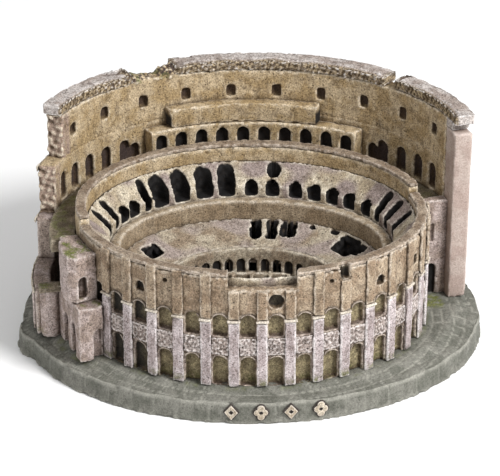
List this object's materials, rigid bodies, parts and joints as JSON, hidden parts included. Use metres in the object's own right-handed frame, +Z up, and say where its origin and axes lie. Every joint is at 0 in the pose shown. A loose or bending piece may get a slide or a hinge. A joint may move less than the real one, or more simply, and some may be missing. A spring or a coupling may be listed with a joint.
{
  "type": "miniature landmark model",
  "caption": "Desk model of a ruined oval amphitheatre: arcaded ring, tiers of seats, arena and a broken tall outer wall on a paved oval base.",
  "frame": {"origin": "centre of the oval base's underside", "axes": "+Z up, -Y towards the low front with the ornaments, +X to the viewer's right, along the long axis of the oval"},
  "size_m": [0.202, 0.163, 0.1],
  "materials": {
    "plinth_resin": "matte, grey-green wash with pale dry-brushed edges",
    "paving_resin": "matte, grey-green slabs with pale joints",
    "dark_wash": "matte, dark brown wash",
    "cream_paint": "satin cream paint",
    "ochre_resin": "matte, ochre wash, pitted",
    "rose_resin": "matte, rosy stone wash, pitted",
    "stone_resin": "matte, pale stone wash",
    "seat_resin": "matte, worn cream and brown wash",
    "moss_resin": "matte, mossy green and brown wash",
    "pale_resin": "matte, pale rosy wash with pits"
  },
  "bodies": {
    "root": {"base": "plinth_resin", "paving": "paving_resin", "ornament_plaques": "dark_wash", "front_ornaments": "cream_paint", "facade_left": "ochre_resin", "facade_front": "ochre_resin", "facade_right": "ochre_resin", "facade_back": "ochre_resin", "facade_lower_shafts": "rose_resin", "facade_capitals": "cream_paint", "facade_upper_shafts": "ochre_resin", "facade_band": "rose_resin", "facade_archivolts": "cream_paint", "facade_coping": "stone_resin", "back_parapet": "stone_resin", "upper_seating": "stone_resin", "walkway": "stone_resin", "lower_seating": "seat_resin", "arena_wall": "seat_resin", "arena_floor": "seat_resin", "arena_cells": "seat_resin", "passage_floor": "moss_resin", "gallery_arcade": "ochre_resin", "gallery_block": "ochre_resin", "storey_1_wall": "rose_resin", "storey_1_columns": "rose_resin", "storey_1_band": "stone_resin", "storey_2_wall": "rose_resin", "storey_2_columns": "rose_resin", "storey_2_band": "stone_resin", "storey_3_wall": "ochre_resin", "storey_3_columns": "rose_resin", "storey_3_band": "stone_resin", "attic_wall": "ochre_resin", "attic_pilasters": "rose_resin", "attic_corbels": "stone_resin", "cornice_left": "pale_resin", "cornice_back": "pale_resin", "cornice_right": "pale_resin", "right_pier": "pale_resin", "right_pier_capital": "pale_resin", "right_cross_wall": "rose_resin", "left_column": "rose_resin", "left_column_cap": "moss_resin", "left_block": "rose_resin", "left_tower": "rose_resin"}
  },
  "joints": []
}
